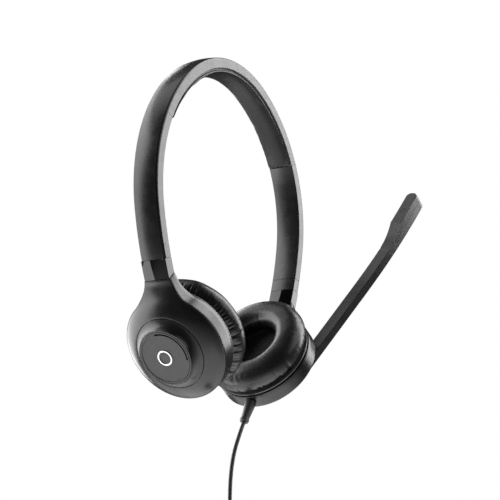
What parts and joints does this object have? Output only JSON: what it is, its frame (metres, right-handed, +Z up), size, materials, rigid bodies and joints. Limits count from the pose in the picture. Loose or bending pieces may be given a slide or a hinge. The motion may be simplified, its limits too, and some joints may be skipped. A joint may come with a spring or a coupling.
{
  "type": "office headset",
  "caption": "Wired office headset with a sprung padded headband, sliding toed-in ear cups, leatherette cushions and a swinging microphone boom.",
  "frame": {"origin": "where the crown pad's underside rests on the top of the wearer's head", "axes": "X ear to ear with the boom cup (wearer's left) at +X, the wearer faces -Y, +Z up"},
  "size_m": [0.2061, 0.0946, 0.3234],
  "materials": {
    "shell_black": "satin moulded black",
    "frame_graphite": "satin graphite",
    "spring_steel": "ground",
    "screw_steel": "zinc plated",
    "wire_black": "smooth",
    "inner_black": "moulded",
    "pad_leatherette": "fine grain leatherette",
    "rubber_black": "matte",
    "cord_black": "satin jacket",
    "board_green": "solder mask",
    "washer_white": "smooth",
    "tie_fabric": "woven hook and loop",
    "plug_rubber": "matte moulded",
    "contact_gold": "gold plated",
    "insulator_black": "smooth",
    "cap_grey": "fine matte",
    "ring_satin": "satin",
    "boom_black": "satin moulded",
    "mic_graphite": "satin",
    "capsule_metal": "plain",
    "arm_cover_black": "satin",
    "collar_gloss": "piano gloss",
    "baffle_grey": "satin",
    "driver_metal": "stamped",
    "magnet_metal": "nickel plated",
    "diaphragm_film": "thin film",
    "grille_cloth": "fine woven cloth",
    "cushion_leatherette": "soft leatherette"
  },
  "bodies": {
    "headband": {"headband_outer_cover": "shell_black", "headband_frame": "frame_graphite", "headband_spring": "spring_steel", "headband_screws": "screw_steel", "crossover_wire": "wire_black", "crown_pad_base": "inner_black", "crown_pad": "pad_leatherette", "arm_inner_cover_left": "arm_cover_black", "arm_inner_cover_right": "arm_cover_black", "band_end_cap_left": "shell_black", "band_end_cap_right": "shell_black", "detent_springs": "spring_steel"},
    "cup_left": {"slider_strip_left": "spring_steel", "slider_collar_left": "collar_gloss", "arm_wire_left": "wire_black", "outer_housing_left": "shell_black", "baffle_left": "baffle_grey", "driver_basket_left": "driver_metal", "driver_magnet_left": "magnet_metal", "driver_diaphragm_left": "diaphragm_film", "driver_grille_left": "inner_black", "grille_cloth_left": "grille_cloth", "ear_cushion_left": "cushion_leatherette", "cup_screws_left": "screw_steel", "strain_relief": "rubber_black", "cable_clamp": "inner_black", "lead_core": "cord_black", "terminal_board": "board_green", "boom_washer": "washer_white", "boom_keeper": "spring_steel", "cord_lead": "cord_black", "cord_tail": "cord_black", "cord_coil": "cord_black", "coil_tie": "tie_fabric", "plug_overmould": "plug_rubber", "plug_sleeve": "contact_gold", "plug_rings": "contact_gold", "plug_insulators": "insulator_black", "plug_tip": "contact_gold"},
    "cup_right": {"slider_strip_right": "spring_steel", "slider_collar_right": "collar_gloss", "arm_wire_right": "wire_black", "outer_housing_right": "shell_black", "baffle_right": "baffle_grey", "driver_basket_right": "driver_metal", "driver_magnet_right": "magnet_metal", "driver_diaphragm_right": "diaphragm_film", "driver_grille_right": "inner_black", "grille_cloth_right": "grille_cloth", "ear_cushion_right": "cushion_leatherette", "cup_screws_right": "screw_steel", "cap_disc_right": "cap_grey", "cone_ring": "ring_satin"},
    "mic_boom": {"boom_arm": "boom_black", "boom_back_cover": "boom_black", "mic_head_cover": "mic_graphite", "mic_capsule": "capsule_metal", "mic_boot": "rubber_black", "boom_wire": "wire_black", "cap_disc_left": "cap_grey"}
  },
  "joints": [
    {"name": "slider_left", "type": "slide", "parent": "headband", "child": "cup_left", "axis": [-0.2272, 0, -0.9738], "range_m": [0, 0.022]},
    {"name": "slider_right", "type": "slide", "parent": "headband", "child": "cup_right", "axis": [0.2272, 0, -0.9738], "range_m": [0, 0.022]},
    {"name": "boom_swing", "type": "hinge", "parent": "cup_left", "child": "mic_boom", "pos_m": [0.04748, 0, -0.16034], "axis": [0.8415, 0, -0.5402], "range_deg": [-1.5, 128.5]}
  ]
}
